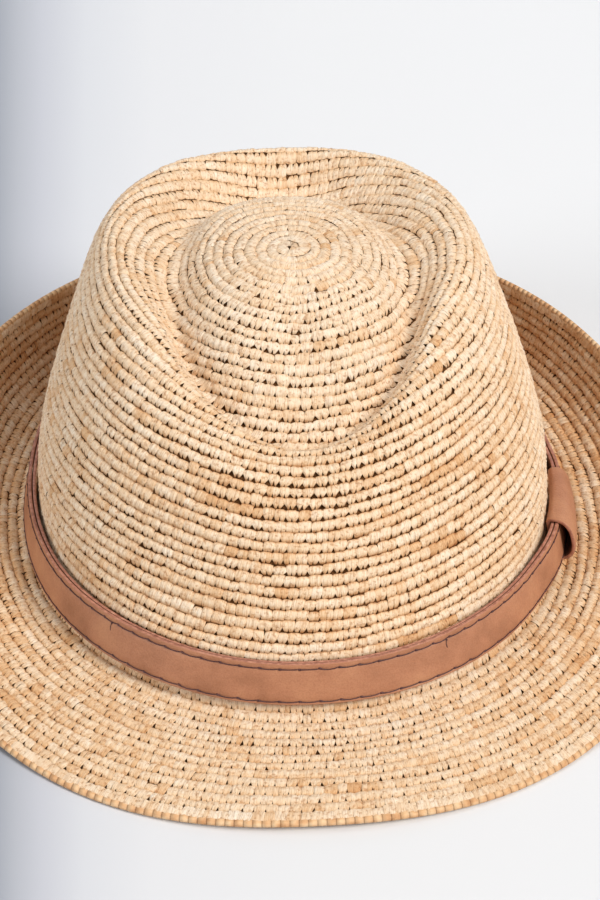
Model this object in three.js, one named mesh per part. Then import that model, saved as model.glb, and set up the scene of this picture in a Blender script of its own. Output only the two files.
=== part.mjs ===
// A trilby crocheted in raffia straw, with a teardrop crown, a leather band and a keeper loop.
// Millimetres, +Z up, the front of the hat towards -Y. The hat lies on the plane Z = 0.
import * as THREE from 'three';

// Head opening and straw
const HEAD_WIDTH = 164.8;         // inside the opening, ear to ear
const HEAD_LENGTH = 198.6;        // inside the opening, front to back
const HEAD_SQUARENESS = 2.155;    // exponent of the opening's oval, 2 is an ellipse
const STRAW_THICKNESS = 2.4;      // crocheted fabric

// Crown and brim
const CROWN_HEIGHT = 99.0;        // middle of the dome above the table
const BRIM_WIDTH = 45.5;          // along the fabric, foot of the crown to the edge
const BRIM_TURN_UP = 31.0;        // edge at the back above the table
const FRONT_LIFT = 4.8;           // foot of the crown above the table, at the front
const FOOT_FLARE = 7.0;           // reach of the soft corner between crown and brim
const FOOT_RISE = 14.0;           // height of that corner on the wall
const FOOT_LEAN = 2.5;            // lean of the wall above the corner
const CORNER_DROP = 1.0;          // dip of the brim just outside the corner
const TABLE_PRESS = 0.8;          // depth of straw that the table presses flat

// Band of two leather plies, sewn along both edges
const BAND_HEIGHT = 12.8;
const PLY_THICKNESS = 1.1;
const PLY_GAP = 0.3;
const BAND_CLEARANCE = 0.45;      // band to straw
const BAND_SEAT = 2.4;            // band's lower edge above the foot of the crown
const SIDE_SLACK = 0.2;           // how far the stiff band stands off at the ears

// Keeper, a leather loop round the band on the wearer's left
const KEEPER_START = 63;          // degrees from the front
const KEEPER_LENGTH = 29.0;       // along the band
const KEEPER_WALL = 1.3;
const KEEPER_CLEARANCE = 0.3;     // keeper to band, and to straw
const KEEPER_SLACK = 0.2;         // extra room behind the band
const KEEPER_CORNER = 1.1;        // rounding of the loop's outside corners at the crown
const KEEPER_INNER_CORNER = 0.3;
const KEEPER_ROUNDNESS = 2.4;     // exponent of the loop's bulge, 2 is an ellipse
const KEEPER_FRONT_HOLLOW = 3.0;  // open space in front of the band at the front lip
const KEEPER_BACK_HOLLOW = 1.0;
const KEEPER_EASE = 16;           // degrees over which the band eases back to the straw

// Fineness of the facets
const AROUND = 72;
const RINGS_PER_SPAN = 3;         // of the profile's curve
const KEEPER_STATIONS = 7;
const KEEPER_ARC_STEPS = 10;      // round the keeper's bulge

// Sections from the front, 0 degrees, to the back, 180 degrees, both sides of the hat alike.
// Reaches of the crown are shares of the opening's outside reach, its rises shares of CROWN_HEIGHT.
const CROWN_COLUMNS = [
  'angle', 'domeReach', 'slopeReach', 'slopeRise', 'valleyReach', 'valleyRise',
  'crestReach', 'crestRise', 'shoulderReach', 'shoulderRise', 'wallReach', 'wallRise',
];
const CROWN_ROWS = [
  [0, 0.226, 0.425, 0.747, 0.567, 0.596, 0.567, 0.699, 0.753, 0.586, 0.928, 0.265],
  [30, 0.249, 0.422, 0.834, 0.496, 0.641, 0.523, 0.782, 0.696, 0.694, 0.896, 0.292],
  [60, 0.255, 0.388, 0.893, 0.456, 0.746, 0.508, 0.919, 0.693, 0.816, 0.950, 0.346],
  [90, 0.260, 0.363, 0.917, 0.444, 0.832, 0.586, 0.980, 0.733, 0.883, 0.973, 0.384],
  [120, 0.250, 0.372, 0.938, 0.450, 0.842, 0.668, 0.999, 0.794, 0.894, 0.911, 0.383],
  [150, 0.250, 0.422, 0.954, 0.510, 0.781, 0.723, 0.993, 0.819, 0.890, 0.895, 0.359],
  [180, 0.247, 0.456, 0.944, 0.608, 0.705, 0.757, 0.970, 0.789, 0.880, 0.933, 0.334],
];

// Rises of the foot are shares of FRONT_LIFT. Reaches of the brim beyond the foot are shares of
// BRIM_WIDTH, its rises shares of BRIM_TURN_UP.
const BRIM_COLUMNS = ['angle', 'footRise', 'midReach', 'midRise', 'edgeReach', 'edgeRise'];
const BRIM_ROWS = [
  [0, 0.90, 0.439, 0.128, 0.980, 0.110],
  [30, 1.00, 0.463, 0.125, 1.013, 0.050],
  [60, 0.62, 0.505, 0.100, 0.989, 0.213],
  [90, 0.35, 0.507, 0.070, 0.897, 0.562],
  [120, 0.42, 0.507, 0.070, 0.655, 0.877],
  [150, 0.38, 0.506, 0.090, 0.469, 0.970],
  [180, 0.33, 0.505, 0.110, 0.380, 0.994],
];
const DOME_RISE = 0.977;          // share of CROWN_HEIGHT that keeps the dome's top round


const radians = (degrees) => degrees * Math.PI / 180;

// Outside reach of the opening's oval in a direction from the front
function openingReach(angle) {
  const halfWidth = HEAD_WIDTH / 2 + STRAW_THICKNESS;
  const halfLength = HEAD_LENGTH / 2 + STRAW_THICKNESS;
  const across = Math.abs(Math.sin(radians(angle))) / halfWidth;
  const along = Math.abs(Math.cos(radians(angle))) / halfLength;
  return (across ** HEAD_SQUARENESS + along ** HEAD_SQUARENESS) ** (-1 / HEAD_SQUARENESS);
}

// Row of a table at any direction: a smooth curve through its rows, mirrored front to back
function rowAt(columns, table, angle) {
  const last = table.length - 1;
  const turned = Math.abs(((angle + 540) % 360) - 180);
  const place = turned / (180 / last);
  const first = Math.min(Math.floor(place), last - 1);
  const t = place - first;
  const mirrored = (row) => table[row < 0 ? -row : (row > last ? 2 * last - row : row)];
  const rows = [-1, 0, 1, 2].map((step) => mirrored(first + step));
  const weights = [
    (-t + 2 * t ** 2 - t ** 3) / 2,
    (2 - 5 * t ** 2 + 3 * t ** 3) / 2,
    (t + 4 * t ** 2 - 3 * t ** 3) / 2,
    (-(t ** 2) + t ** 3) / 2,
  ];
  const values = {};
  columns.forEach((name, column) => {
    values[name] = rows.reduce((sum, row, k) => sum + weights[k] * row[column], 0);
  });
  return values;
}

// Height of the corner between crown and brim
function footHeight(angle) {
  return rowAt(BRIM_COLUMNS, BRIM_ROWS, angle).footRise * FRONT_LIFT;
}

// Control points of the profile in one direction, as Vector2(reach, rise): the crown's end at its
// foot, and the brim's end past the edge
function controlPoints(angle) {
  const c = rowAt(CROWN_COLUMNS, CROWN_ROWS, angle);
  const b = rowAt(BRIM_COLUMNS, BRIM_ROWS, angle);
  const reach = openingReach(angle);
  const foot = footHeight(angle);
  const crown = (share, rise) => new THREE.Vector2(share * reach, rise * CROWN_HEIGHT);
  const mid = new THREE.Vector2(reach + b.midReach * BRIM_WIDTH, b.midRise * BRIM_TURN_UP);
  const edge = new THREE.Vector2(reach + b.edgeReach * BRIM_WIDTH, b.edgeRise * BRIM_TURN_UP);
  const crownPoints = [
    crown(-c.domeReach, DOME_RISE),
    crown(0, 1),
    crown(c.domeReach, DOME_RISE),
    crown(c.slopeReach, c.slopeRise),
    crown(c.valleyReach, c.valleyRise),
    crown(c.crestReach, c.crestRise),
    crown(c.shoulderReach, c.shoulderRise),
    crown(c.wallReach, c.wallRise),
    new THREE.Vector2(reach - FOOT_LEAN, foot + FOOT_RISE),
    new THREE.Vector2(reach, foot),
  ];
  const brimPoints = [
    new THREE.Vector2(reach + FOOT_FLARE, foot - CORNER_DROP),
    mid,
    edge,
    edge.clone().multiplyScalar(2).sub(mid),
  ];
  return { crownPoints, brimPoints };
}

// Rings of the profile's cubic curve, which has a span for each control point but its last three
const CROWN_SPANS = controlPoints(0).crownPoints.length - 2;
const BRIM_SPANS = controlPoints(0).brimPoints.length - 1;
const CROWN_RINGS = CROWN_SPANS * RINGS_PER_SPAN;
const RINGS = (CROWN_SPANS + BRIM_SPANS) * RINGS_PER_SPAN;

// Uniform cubic B-spline: the point at t, from 0 to 1, of the span after the given knot
function splinePoint(points, span, t) {
  const weights = [
    (1 - t) ** 3 / 6,
    (3 * t ** 3 - 6 * t ** 2 + 4) / 6,
    (-3 * t ** 3 + 3 * t ** 2 + 3 * t + 1) / 6,
    t ** 3 / 6,
  ];
  const point = new THREE.Vector2();
  weights.forEach((weight, k) => point.addScaledVector(points[span + k], weight));
  return point;
}

// Upper face of the hat in one direction, from the middle of the crown to the brim's edge
function profile(angle) {
  const { crownPoints, brimPoints } = controlPoints(angle);
  const points = [...crownPoints, ...brimPoints];
  const line = [];
  for (let ring = 0; ring < RINGS; ring += 1) {
    const span = Math.floor(ring / RINGS_PER_SPAN);
    line.push(splinePoint(points, span, ring / RINGS_PER_SPAN - span));
  }
  line.push(splinePoint(points, CROWN_SPANS + BRIM_SPANS - 1, 1));
  return line;
}

// Point of a section plane, placed in the hat's frame
function placed(point, angle) {
  const turn = radians(angle);
  return new THREE.Vector3(point.x * Math.sin(turn), -point.x * Math.cos(turn), point.y);
}

const ringAngles = Array.from({ length: AROUND }, (_, step) => step * 360 / AROUND);
const profiles = ringAngles.map(profile);

// Upper face as rings of points, each ring once round the hat
function upperRings() {
  const rings = [];
  for (let ring = 0; ring <= RINGS; ring += 1) {
    rings.push(ringAngles.map((angle, step) => placed(profiles[step][ring], angle)));
  }
  return rings;
}

// The same rings moved inwards by the straw's thickness
function lowerRings(rings) {
  return rings.map((ring, row) => ring.map((point, step) => {
    if (row === 0) {
      return point.clone().add(new THREE.Vector3(0, 0, -STRAW_THICKNESS));
    }
    const next = rings[Math.min(row + 1, RINGS)][step];
    const before = rings[row - 1][step];
    const outwards = next.clone().sub(before);
    const right = ring[(step + 1) % AROUND];
    const left = ring[(step + AROUND - 1) % AROUND];
    const sideways = right.clone().sub(left);
    const normal = outwards.cross(sideways).normalize();
    return point.clone().addScaledVector(normal, -STRAW_THICKNESS);
  }));
}

// Triangle soup that becomes one closed geometry
class Surface {
  constructor() {
    this.numbers = [];
  }

  triangle(a, b, c) {
    this.numbers.push(...a.toArray(), ...b.toArray(), ...c.toArray());
  }

  quad(a, b, c, d) {
    this.triangle(a, b, c);
    this.triangle(a, c, d);
  }

  // Joins two open or closed rows of points
  strip(first, second, closed) {
    const count = closed ? first.length : first.length - 1;
    for (let i = 0; i < count; i += 1) {
      const j = (i + 1) % first.length;
      this.quad(first[i], second[i], second[j], first[j]);
    }
  }

  geometry() {
    const geometry = new THREE.BufferGeometry();
    geometry.setAttribute('position', new THREE.Float32BufferAttribute(this.numbers, 3));
    geometry.computeVertexNormals();
    return geometry;
  }
}

// Crown and brim, one piece of crochet
function crochetedHat() {
  const upper = upperRings();
  const lower = lowerRings(upper);
  const lowest = Math.min(...lower.flat().map((point) => point.z));
  const raise = -lowest - TABLE_PRESS;
  upper.flat().concat(lower.flat()).forEach((point) => {
    point.z = Math.max(point.z + raise, 0);
  });
  const surface = new Surface();
  const top = upper[0][0];
  const under = lower[0][0];
  for (let step = 0; step < AROUND; step += 1) {
    const next = (step + 1) % AROUND;
    surface.triangle(top, upper[1][step], upper[1][next]);
    surface.triangle(under, lower[1][next], lower[1][step]);
  }
  for (let ring = 1; ring < RINGS; ring += 1) {
    surface.strip(upper[ring], upper[ring + 1], true);
    surface.strip(lower[ring + 1], lower[ring], true);
  }
  surface.strip(upper[RINGS], lower[RINGS], true);
  return { geometry: surface.geometry(), raise };
}

// Angle at the end of the keeper, from its length along the band
function keeperEnd() {
  let angle = KEEPER_START;
  let length = 0;
  while (length < KEEPER_LENGTH) {
    const reach = openingReach(angle + 0.5) + BAND_CLEARANCE + PLY_THICKNESS;
    length += reach * radians(1);
    angle += 1;
  }
  return angle - (length - KEEPER_LENGTH) / (openingReach(angle) * radians(1));
}

const KEEPER_END = keeperEnd();
const BAND_THICKNESS = 2 * PLY_THICKNESS + PLY_GAP;

// Gap between straw and band: slack at the ears, and room for the keeper's inner wall
function bandGap(angle) {
  const slack = BAND_CLEARANCE + SIDE_SLACK * Math.sin(radians(angle)) ** 2;
  const room = KEEPER_WALL + 2 * KEEPER_CLEARANCE + KEEPER_SLACK;
  const turned = ((angle + 540) % 360) - 180;
  const away = Math.max(KEEPER_START - turned, turned - KEEPER_END, 0);
  const ease = Math.min(away / KEEPER_EASE, 1);
  const share = (1 + Math.cos(Math.PI * ease)) / 2;
  return slack + Math.max(room - slack, 0) * share;
}

// Straight section of the strap in one direction: its lower inside corner, and the
// directions up its height and out through its thickness
function strapFrame(angle) {
  const wall = profile(angle).slice(0, CROWN_RINGS + 1).reverse();
  const reachAt = (rise) => {
    let i = 1;
    while (wall[i].y < rise) {
      i += 1;
    }
    const t = (rise - wall[i - 1].y) / (wall[i].y - wall[i - 1].y);
    return THREE.MathUtils.lerp(wall[i - 1].x, wall[i].x, t);
  };
  const bottom = footHeight(angle) + BAND_SEAT;
  const base = new THREE.Vector2(reachAt(bottom), bottom);
  const top = new THREE.Vector2(reachAt(bottom + BAND_HEIGHT), bottom + BAND_HEIGHT);
  const up = top.sub(base).normalize();
  const out = new THREE.Vector2(up.y, -up.x);
  const along = wall.map((point) => point.clone().sub(base));
  const beside = along.filter((point) => point.dot(up) > 0 && point.dot(up) < BAND_HEIGHT);
  const bulge = Math.max(0, ...beside.map((point) => point.dot(out)));
  base.addScaledVector(out, bulge + bandGap(angle));
  return { base, up, out };
}

// Point of the strap at a depth out from its inside face and a height above its lower edge
function strapPoint(angle, depth, height) {
  const frame = strapFrame(angle);
  const point = frame.base.clone();
  point.addScaledVector(frame.out, depth).addScaledVector(frame.up, height);
  return placed(point, angle);
}

// One ply of the band, a closed strip of leather
function bandPly(innerDepth) {
  const outerDepth = innerDepth + PLY_THICKNESS;
  const corners = [[innerDepth, 0], [outerDepth, 0], [outerDepth, BAND_HEIGHT], [innerDepth, BAND_HEIGHT]];
  const rows = corners.map(([depth, height]) => (
    ringAngles.map((angle) => strapPoint(angle, depth, height))
  ));
  const surface = new Surface();
  rows.forEach((row, corner) => surface.strip(rows[(corner + 1) % rows.length], row, true));
  return surface.geometry();
}

// Outline of the keeper's section, round the band and away from it by the given clearance
function keeperOutline(clearance, hollow, corner) {
  const outline = [
    [corner - clearance, -clearance],
    [-clearance, corner - clearance],
    [-clearance, BAND_HEIGHT + clearance - corner],
    [corner - clearance, BAND_HEIGHT + clearance],
  ];
  for (let step = 0; step <= KEEPER_ARC_STEPS; step += 1) {
    const turn = Math.PI * (0.5 - step / KEEPER_ARC_STEPS);
    const side = Math.cos(turn) ** (2 / KEEPER_ROUNDNESS);
    const rise = Math.sign(Math.sin(turn)) * Math.abs(Math.sin(turn)) ** (2 / KEEPER_ROUNDNESS);
    outline.push([
      BAND_THICKNESS + side * (hollow + clearance),
      BAND_HEIGHT / 2 + rise * (BAND_HEIGHT / 2 + clearance),
    ]);
  }
  return outline;
}

// Keeper: a wall of leather that goes right round the band, open at both ends
function keeperLoop() {
  const inner = [];
  const outer = [];
  for (let station = 0; station < KEEPER_STATIONS; station += 1) {
    const share = station / (KEEPER_STATIONS - 1);
    const angle = THREE.MathUtils.lerp(KEEPER_START, KEEPER_END, share);
    const hollow = THREE.MathUtils.lerp(KEEPER_FRONT_HOLLOW, KEEPER_BACK_HOLLOW, share);
    const along = ([depth, height]) => strapPoint(angle, depth, height);
    const inside = keeperOutline(KEEPER_CLEARANCE, hollow, KEEPER_INNER_CORNER);
    const outside = keeperOutline(KEEPER_CLEARANCE + KEEPER_WALL, hollow, KEEPER_CORNER);
    inner.push(inside.map(along));
    outer.push(outside.map(along));
  }
  const last = KEEPER_STATIONS - 1;
  const surface = new Surface();
  for (let station = 0; station < last; station += 1) {
    surface.strip(outer[station + 1], outer[station], true);
    surface.strip(inner[station], inner[station + 1], true);
  }
  surface.strip(outer[0], inner[0], true);
  surface.strip(inner[last], outer[last], true);
  return surface.geometry();
}

// Materials
const RAFFIA = { color: 0xdcb98c, roughness: 0.8, metalness: 0 };
const LEATHER = { color: 0xc08a6a, roughness: 0.55, metalness: 0 };
const LEATHER_BACK = { color: 0xa87458, roughness: 0.7, metalness: 0 };

function piece(name, geometry, finish, raise) {
  const mesh = new THREE.Mesh(geometry, new THREE.MeshStandardMaterial(finish));
  mesh.name = name;
  mesh.position.z = raise;
  return mesh;
}

const hat = crochetedHat();
const part = new THREE.Group();
part.add(piece('crocheted_hat', hat.geometry, RAFFIA, 0));
part.add(piece('band_backing', bandPly(0), LEATHER_BACK, hat.raise));
part.add(piece('band_face', bandPly(PLY_THICKNESS + PLY_GAP), LEATHER, hat.raise));
part.add(piece('band_keeper', keeperLoop(), LEATHER, hat.raise));

// The frame's origin lies under the middle of the whole hat
const box = new THREE.Box3().setFromObject(part);
const middle = box.getCenter(new THREE.Vector3());
part.position.set(-middle.x, -middle.y, 0);

export default part;
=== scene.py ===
# %% [markdown]
# # A trilby crocheted in raffia
#
# The hat is one spiral of crochet: it starts in the middle of the crown, runs down the wall and out
# over the brim. A sewn leather band sits round the crown, held by a small leather loop.
# The model is made as the hat is: a form first, like the wooden block that a hatter works on,
# then a skin of straw, then some thousands of stitches wrapped on it, then the leather.
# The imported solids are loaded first, because every piece has to lie where they lie.

import math

import bmesh
import bpy
import numpy as np
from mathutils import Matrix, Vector


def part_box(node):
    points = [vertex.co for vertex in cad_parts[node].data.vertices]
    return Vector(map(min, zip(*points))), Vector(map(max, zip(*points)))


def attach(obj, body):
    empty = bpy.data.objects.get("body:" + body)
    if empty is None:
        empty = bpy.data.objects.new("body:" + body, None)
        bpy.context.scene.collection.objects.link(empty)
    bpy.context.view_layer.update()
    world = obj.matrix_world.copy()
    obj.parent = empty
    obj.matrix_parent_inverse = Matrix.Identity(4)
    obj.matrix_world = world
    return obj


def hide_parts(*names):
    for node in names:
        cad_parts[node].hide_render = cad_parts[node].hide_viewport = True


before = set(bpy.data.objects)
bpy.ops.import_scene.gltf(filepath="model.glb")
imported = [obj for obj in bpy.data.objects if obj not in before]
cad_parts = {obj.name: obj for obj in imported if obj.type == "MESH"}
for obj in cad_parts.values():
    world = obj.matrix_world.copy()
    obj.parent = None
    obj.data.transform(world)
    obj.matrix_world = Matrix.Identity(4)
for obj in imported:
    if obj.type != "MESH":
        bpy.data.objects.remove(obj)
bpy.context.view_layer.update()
HAT_BOX = [[float(value) for value in corner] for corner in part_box("crocheted_hat")]
MM = 0.001
chance = np.random.default_rng(7)

# %% [markdown]
# ## The form
# A hat form is described by its sections: one curve for each direction from the front, running
# from the middle of the crown to the edge of the brim. The sections change slowly round the hat,
# so a short table of seven directions and a smooth curve between them give every other one.
# The numbers are those of the solids, so that the dressed hat and the solids are the same shape.

# %% Sizes of the form
HEAD_WIDTH = 164.8 * MM
HEAD_LENGTH = 198.6 * MM
HEAD_SQUARENESS = 2.155
STRAW_THICKNESS = 2.4 * MM
CROWN_HEIGHT = 99.0 * MM
BRIM_WIDTH = 45.5 * MM
BRIM_TURN_UP = 31.0 * MM
FRONT_LIFT = 4.8 * MM
FOOT_FLARE = 7.0 * MM
FOOT_RISE = 14.0 * MM
FOOT_LEAN = 2.5 * MM
CORNER_DROP = 1.0 * MM
DOME_RISE = 0.977

# Reaches as shares of the opening's reach, rises as shares of the crown's height
CROWN_ROWS = np.array([
    # dome, slope (reach, rise), valley, crest, shoulder, wall
    [0.226, 0.425, 0.747, 0.567, 0.596, 0.567, 0.699, 0.753, 0.586, 0.928, 0.265],
    [0.249, 0.422, 0.834, 0.496, 0.641, 0.523, 0.782, 0.696, 0.694, 0.896, 0.292],
    [0.255, 0.388, 0.893, 0.456, 0.746, 0.508, 0.919, 0.693, 0.816, 0.950, 0.346],
    [0.260, 0.363, 0.917, 0.444, 0.832, 0.586, 0.980, 0.733, 0.883, 0.973, 0.384],
    [0.250, 0.372, 0.938, 0.450, 0.842, 0.668, 0.999, 0.794, 0.894, 0.911, 0.383],
    [0.250, 0.422, 0.954, 0.510, 0.781, 0.723, 0.993, 0.819, 0.890, 0.895, 0.359],
    [0.247, 0.456, 0.944, 0.608, 0.705, 0.757, 0.970, 0.789, 0.880, 0.933, 0.334],
])
# Rise of the foot, then reach and rise of the brim's middle and of its edge
BRIM_ROWS = np.array([
    [0.90, 0.439, 0.128, 0.980, 0.110],
    [1.00, 0.463, 0.125, 1.013, 0.050],
    [0.62, 0.505, 0.100, 0.989, 0.213],
    [0.35, 0.507, 0.070, 0.897, 0.562],
    [0.42, 0.507, 0.070, 0.655, 0.877],
    [0.38, 0.506, 0.090, 0.469, 0.970],
    [0.33, 0.505, 0.110, 0.380, 0.994],
])

# %% Sections in any direction
CROWN_SPANS = 8
BRIM_SPANS = 3


def opening_reach(degrees):
    """From the middle to the outside of the head's opening, in each direction from the front."""
    turn = np.radians(degrees)
    across = np.abs(np.sin(turn)) / (HEAD_WIDTH / 2 + STRAW_THICKNESS)
    along = np.abs(np.cos(turn)) / (HEAD_LENGTH / 2 + STRAW_THICKNESS)
    return (across ** HEAD_SQUARENESS + along ** HEAD_SQUARENESS) ** (-1 / HEAD_SQUARENESS)


def row_at(table, degrees):
    """The table's values in each direction: a smooth curve through its rows, both sides alike."""
    last = len(table) - 1
    place = np.abs((degrees + 540) % 360 - 180) / (180 / last)
    first = np.minimum(place.astype(int), last - 1)
    t = place - first
    index = np.abs(first[:, None] + np.array([-1, 0, 1, 2]))
    index = np.where(index > last, 2 * last - index, index)
    weights = np.stack([
        (-t + 2 * t**2 - t**3) / 2,
        (2 - 5 * t**2 + 3 * t**3) / 2,
        (t + 4 * t**2 - 3 * t**3) / 2,
        (-(t**2) + t**3) / 2,
    ], axis=1)
    return (table[index] * weights[:, :, None]).sum(axis=1)


def control_points(degrees):
    """Reach and rise of the points that pull each section into shape."""
    degrees = np.atleast_1d(np.asarray(degrees, float))
    c = row_at(CROWN_ROWS, degrees).T
    b = row_at(BRIM_ROWS, degrees).T
    reach = opening_reach(degrees)
    foot = b[0] * FRONT_LIFT
    zero = np.zeros_like(reach)
    middle = (reach + b[1] * BRIM_WIDTH, b[2] * BRIM_TURN_UP)
    edge = (reach + b[3] * BRIM_WIDTH, b[4] * BRIM_TURN_UP)
    points = [
        (-c[0] * reach, zero + DOME_RISE * CROWN_HEIGHT),
        (zero, zero + CROWN_HEIGHT),
        (c[0] * reach, zero + DOME_RISE * CROWN_HEIGHT),
        (c[1] * reach, c[2] * CROWN_HEIGHT),
        (c[3] * reach, c[4] * CROWN_HEIGHT),
        (c[5] * reach, c[6] * CROWN_HEIGHT),
        (c[7] * reach, c[8] * CROWN_HEIGHT),
        (c[9] * reach, c[10] * CROWN_HEIGHT),
        (reach - FOOT_LEAN, foot + FOOT_RISE),
        (reach, foot),
        (reach + FOOT_FLARE, foot - CORNER_DROP),
        middle,
        edge,
        (2 * edge[0] - middle[0], 2 * edge[1] - middle[1]),
    ]
    return np.array(points).transpose(2, 0, 1)


def section(degrees, first, last, steps):
    """Points of the sections from one knot of their curve to another."""
    points = control_points(degrees)
    place = np.linspace(first, last, (last - first) * steps + 1)
    span = np.minimum(place.astype(int), CROWN_SPANS + BRIM_SPANS - 1)
    t = place - span
    weights = [
        (1 - t) ** 3 / 6,
        (3 * t**3 - 6 * t**2 + 4) / 6,
        (-3 * t**3 + 3 * t**2 + 3 * t + 1) / 6,
        t**3 / 6,
    ]
    return sum(w[None, :, None] * points[:, span + k] for k, w in enumerate(weights))


# %% [markdown]
# ## Rounds of crochet
# Crochet is worked in rounds of one height, so a place on the hat is best given by its direction
# and its round. Counted in the photograph, the crown has 46 rounds and the brim 14. The sections
# are cut into that many equal lengths, and the upper face is carried on over the brim's edge
# and back along the underside. One grid of points and outward directions then wraps anything,
# a skin or a stitch, on the hat.

# %% The grid of rounds
CROWN_ROUNDS = 46
BRIM_ROUNDS = 14
UPPER_ROUNDS = CROWN_ROUNDS + BRIM_ROUNDS
PARTS = 6                 # points for each round
DIRECTIONS = 360
FINE_STEPS = 24           # points for each span, before the sections are cut into rounds


def equal_steps(lines, count, short=0.0):
    """Each line of points again, in equal lengths, ending a little short."""
    result = []
    for line in lines:
        walked = np.concatenate([[0], np.cumsum(np.linalg.norm(np.diff(line, axis=0), axis=1))])
        places = np.linspace(0, walked[-1] - short, count + 1)
        result.append(np.stack([np.interp(places, walked, line[:, k]) for k in range(2)], axis=1))
    return np.array(result)


degrees = np.arange(DIRECTIONS) * 360 / DIRECTIONS
crown_lines = equal_steps(section(degrees, 0, CROWN_SPANS, FINE_STEPS), CROWN_ROUNDS * PARTS)
brim_lines = equal_steps(
    section(degrees, CROWN_SPANS, CROWN_SPANS + BRIM_SPANS, FINE_STEPS),
    BRIM_ROUNDS * PARTS, short=STRAW_THICKNESS / 2,
)
lines = np.concatenate([crown_lines, brim_lines[:, 1:]], axis=1)
turn = np.radians(degrees)[:, None]
upper = np.stack([lines[:, :, 0] * np.sin(turn), -lines[:, :, 0] * np.cos(turn), lines[:, :, 1]], axis=2)
outwards = np.gradient(upper, axis=1)
sideways = np.roll(upper, -1, axis=0) - np.roll(upper, 1, axis=0)
upper_normal = np.cross(outwards, sideways)
upper_normal[:, 0] = (0, 0, 1)
upper_normal /= np.linalg.norm(upper_normal, axis=2, keepdims=True)

# Lift and shift on to the solids: the middle of the dome is the highest point of both
RAISE = HAT_BOX[1][2] - upper[0, 0, 2]
edge_ahead = upper[0, -1, 1] - STRAW_THICKNESS / 2
FORWARD = HAT_BOX[0][1] - edge_ahead
upper += (0, FORWARD, RAISE)

lower = upper - upper_normal * STRAW_THICKNESS
ahead = outwards[:, -1] / np.linalg.norm(outwards[:, -1], axis=1, keepdims=True)
middle = upper[:, -1] - upper_normal[:, -1] * STRAW_THICKNESS / 2
rounding, rounding_normal = [], []
for step in range(1, PARTS):
    tilt = math.pi * step / PARTS
    normal = upper_normal[:, -1] * math.cos(tilt) + ahead * math.sin(tilt)
    rounding.append(middle + normal * STRAW_THICKNESS / 2)
    rounding_normal.append(normal)
grid = np.concatenate([upper, np.stack(rounding, 1), lower[:, ::-1]], axis=1)
grid_normal = np.concatenate([upper_normal, np.stack(rounding_normal, 1), -upper_normal[:, ::-1]], axis=1)
grid[:, :, 2] = np.maximum(grid[:, :, 2], 0)
LAST_ROUND = (grid.shape[1] - 1) / PARTS


def wrap(turns, rounds, lift):
    """Points on the hat from turns round it, from the back, and rounds from the middle."""
    a = (turns + 0.5) % 1 * DIRECTIONS
    r = np.clip(rounds, 0, LAST_ROUND - 1e-6) * PARTS
    a0, r0 = a.astype(int) % DIRECTIONS, r.astype(int)
    a1, r1 = (a0 + 1) % DIRECTIONS, r0 + 1
    fa, fr = (a - np.floor(a))[..., None], (r - r0)[..., None]

    def blend(g):
        return ((g[a0, r0] * (1 - fa) + g[a1, r0] * fa) * (1 - fr)
                + (g[a0, r1] * (1 - fa) + g[a1, r1] * fa) * fr)

    normal = blend(grid_normal)
    normal /= np.linalg.norm(normal, axis=-1, keepdims=True)
    return blend(grid) + normal * np.asarray(lift)[..., None]


print("raised by", round(RAISE / MM, 2), "mm, moved forward by", round(FORWARD / MM, 2), "mm")
tall = np.linalg.norm(upper[0, 10 * PARTS] - upper[0, 9 * PARTS])
print("round height at the front, mm:", round(float(tall) / MM, 2))

# %% [markdown]
# ## The camera
# The camera stands where the photographer stood: a little to the left of the hat's front and well
# above it, about 62 cm away with a short telephoto lens. These values come from fitting the oval of
# the band and the brim's outline. It is made early, so that every piece can be tried in its view.

# %% The camera
AZIMUTH, ELEVATION = math.radians(-4.02), math.radians(36.74)
DISTANCE = 619.74 * MM
TARGET = Vector((2.357 * MM, -6.469 * MM + FORWARD, 25.653 * MM + RAISE))
back = Vector((
    math.sin(AZIMUTH) * math.cos(ELEVATION),
    -math.cos(AZIMUTH) * math.cos(ELEVATION),
    math.sin(ELEVATION),
))
camera_data = bpy.data.cameras.new("camera")
camera_data.lens = 76.57
camera_data.sensor_width = 36
camera_data.clip_start = 0.01
camera = bpy.data.objects.new("camera", camera_data)
camera.location = TARGET + back * DISTANCE
camera.rotation_euler = (-back).to_track_quat("-Z", "Y").to_euler()
bpy.context.collection.objects.link(camera)
bpy.context.scene.camera = camera
print("camera at", [round(v, 3) for v in camera.location])

# %% [markdown]
# ## Helpers for materials
# A material is a small net of nodes. One function adds a node, sets its values and joins its
# inputs, so that each finish reads as a list of what it is made of. Colours are written as they
# look on a screen and turned into the linear light that the renderer works with.

# %% Colours and nodes


def linear(code):
    """Linear colour from a screen colour such as #d9a873."""
    values = [int(code[i:i + 2], 16) / 255 for i in (1, 3, 5)]
    return [v / 12.92 if v <= 0.04045 else ((v + 0.055) / 1.055) ** 2.4 for v in values] + [1.0]


def new_material(name):
    """A material with nothing but its surface shader."""
    material = bpy.data.materials.new(name)
    material.use_nodes = True
    return material


def add(material, kind, inputs=None, **settings):
    """A node with its settings; an input is a value, or another node's output to link."""
    made = material.node_tree.nodes.new(kind)
    for name, value in settings.items():
        setattr(made, name, value)
    for name, value in (inputs or {}).items():
        if isinstance(value, bpy.types.NodeSocket):
            material.node_tree.links.new(value, made.inputs[name])
        else:
            made.inputs[name].default_value = value
    return made


def coordinates(material, kind):
    """Each point's place: Object in metres, or UV along the piece."""
    return add(material, "ShaderNodeTexCoord").outputs[kind]


def calc(material, operation, *values):
    """One step of arithmetic."""
    return add(material, "ShaderNodeMath", dict(enumerate(values)), operation=operation).outputs[0]


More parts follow.
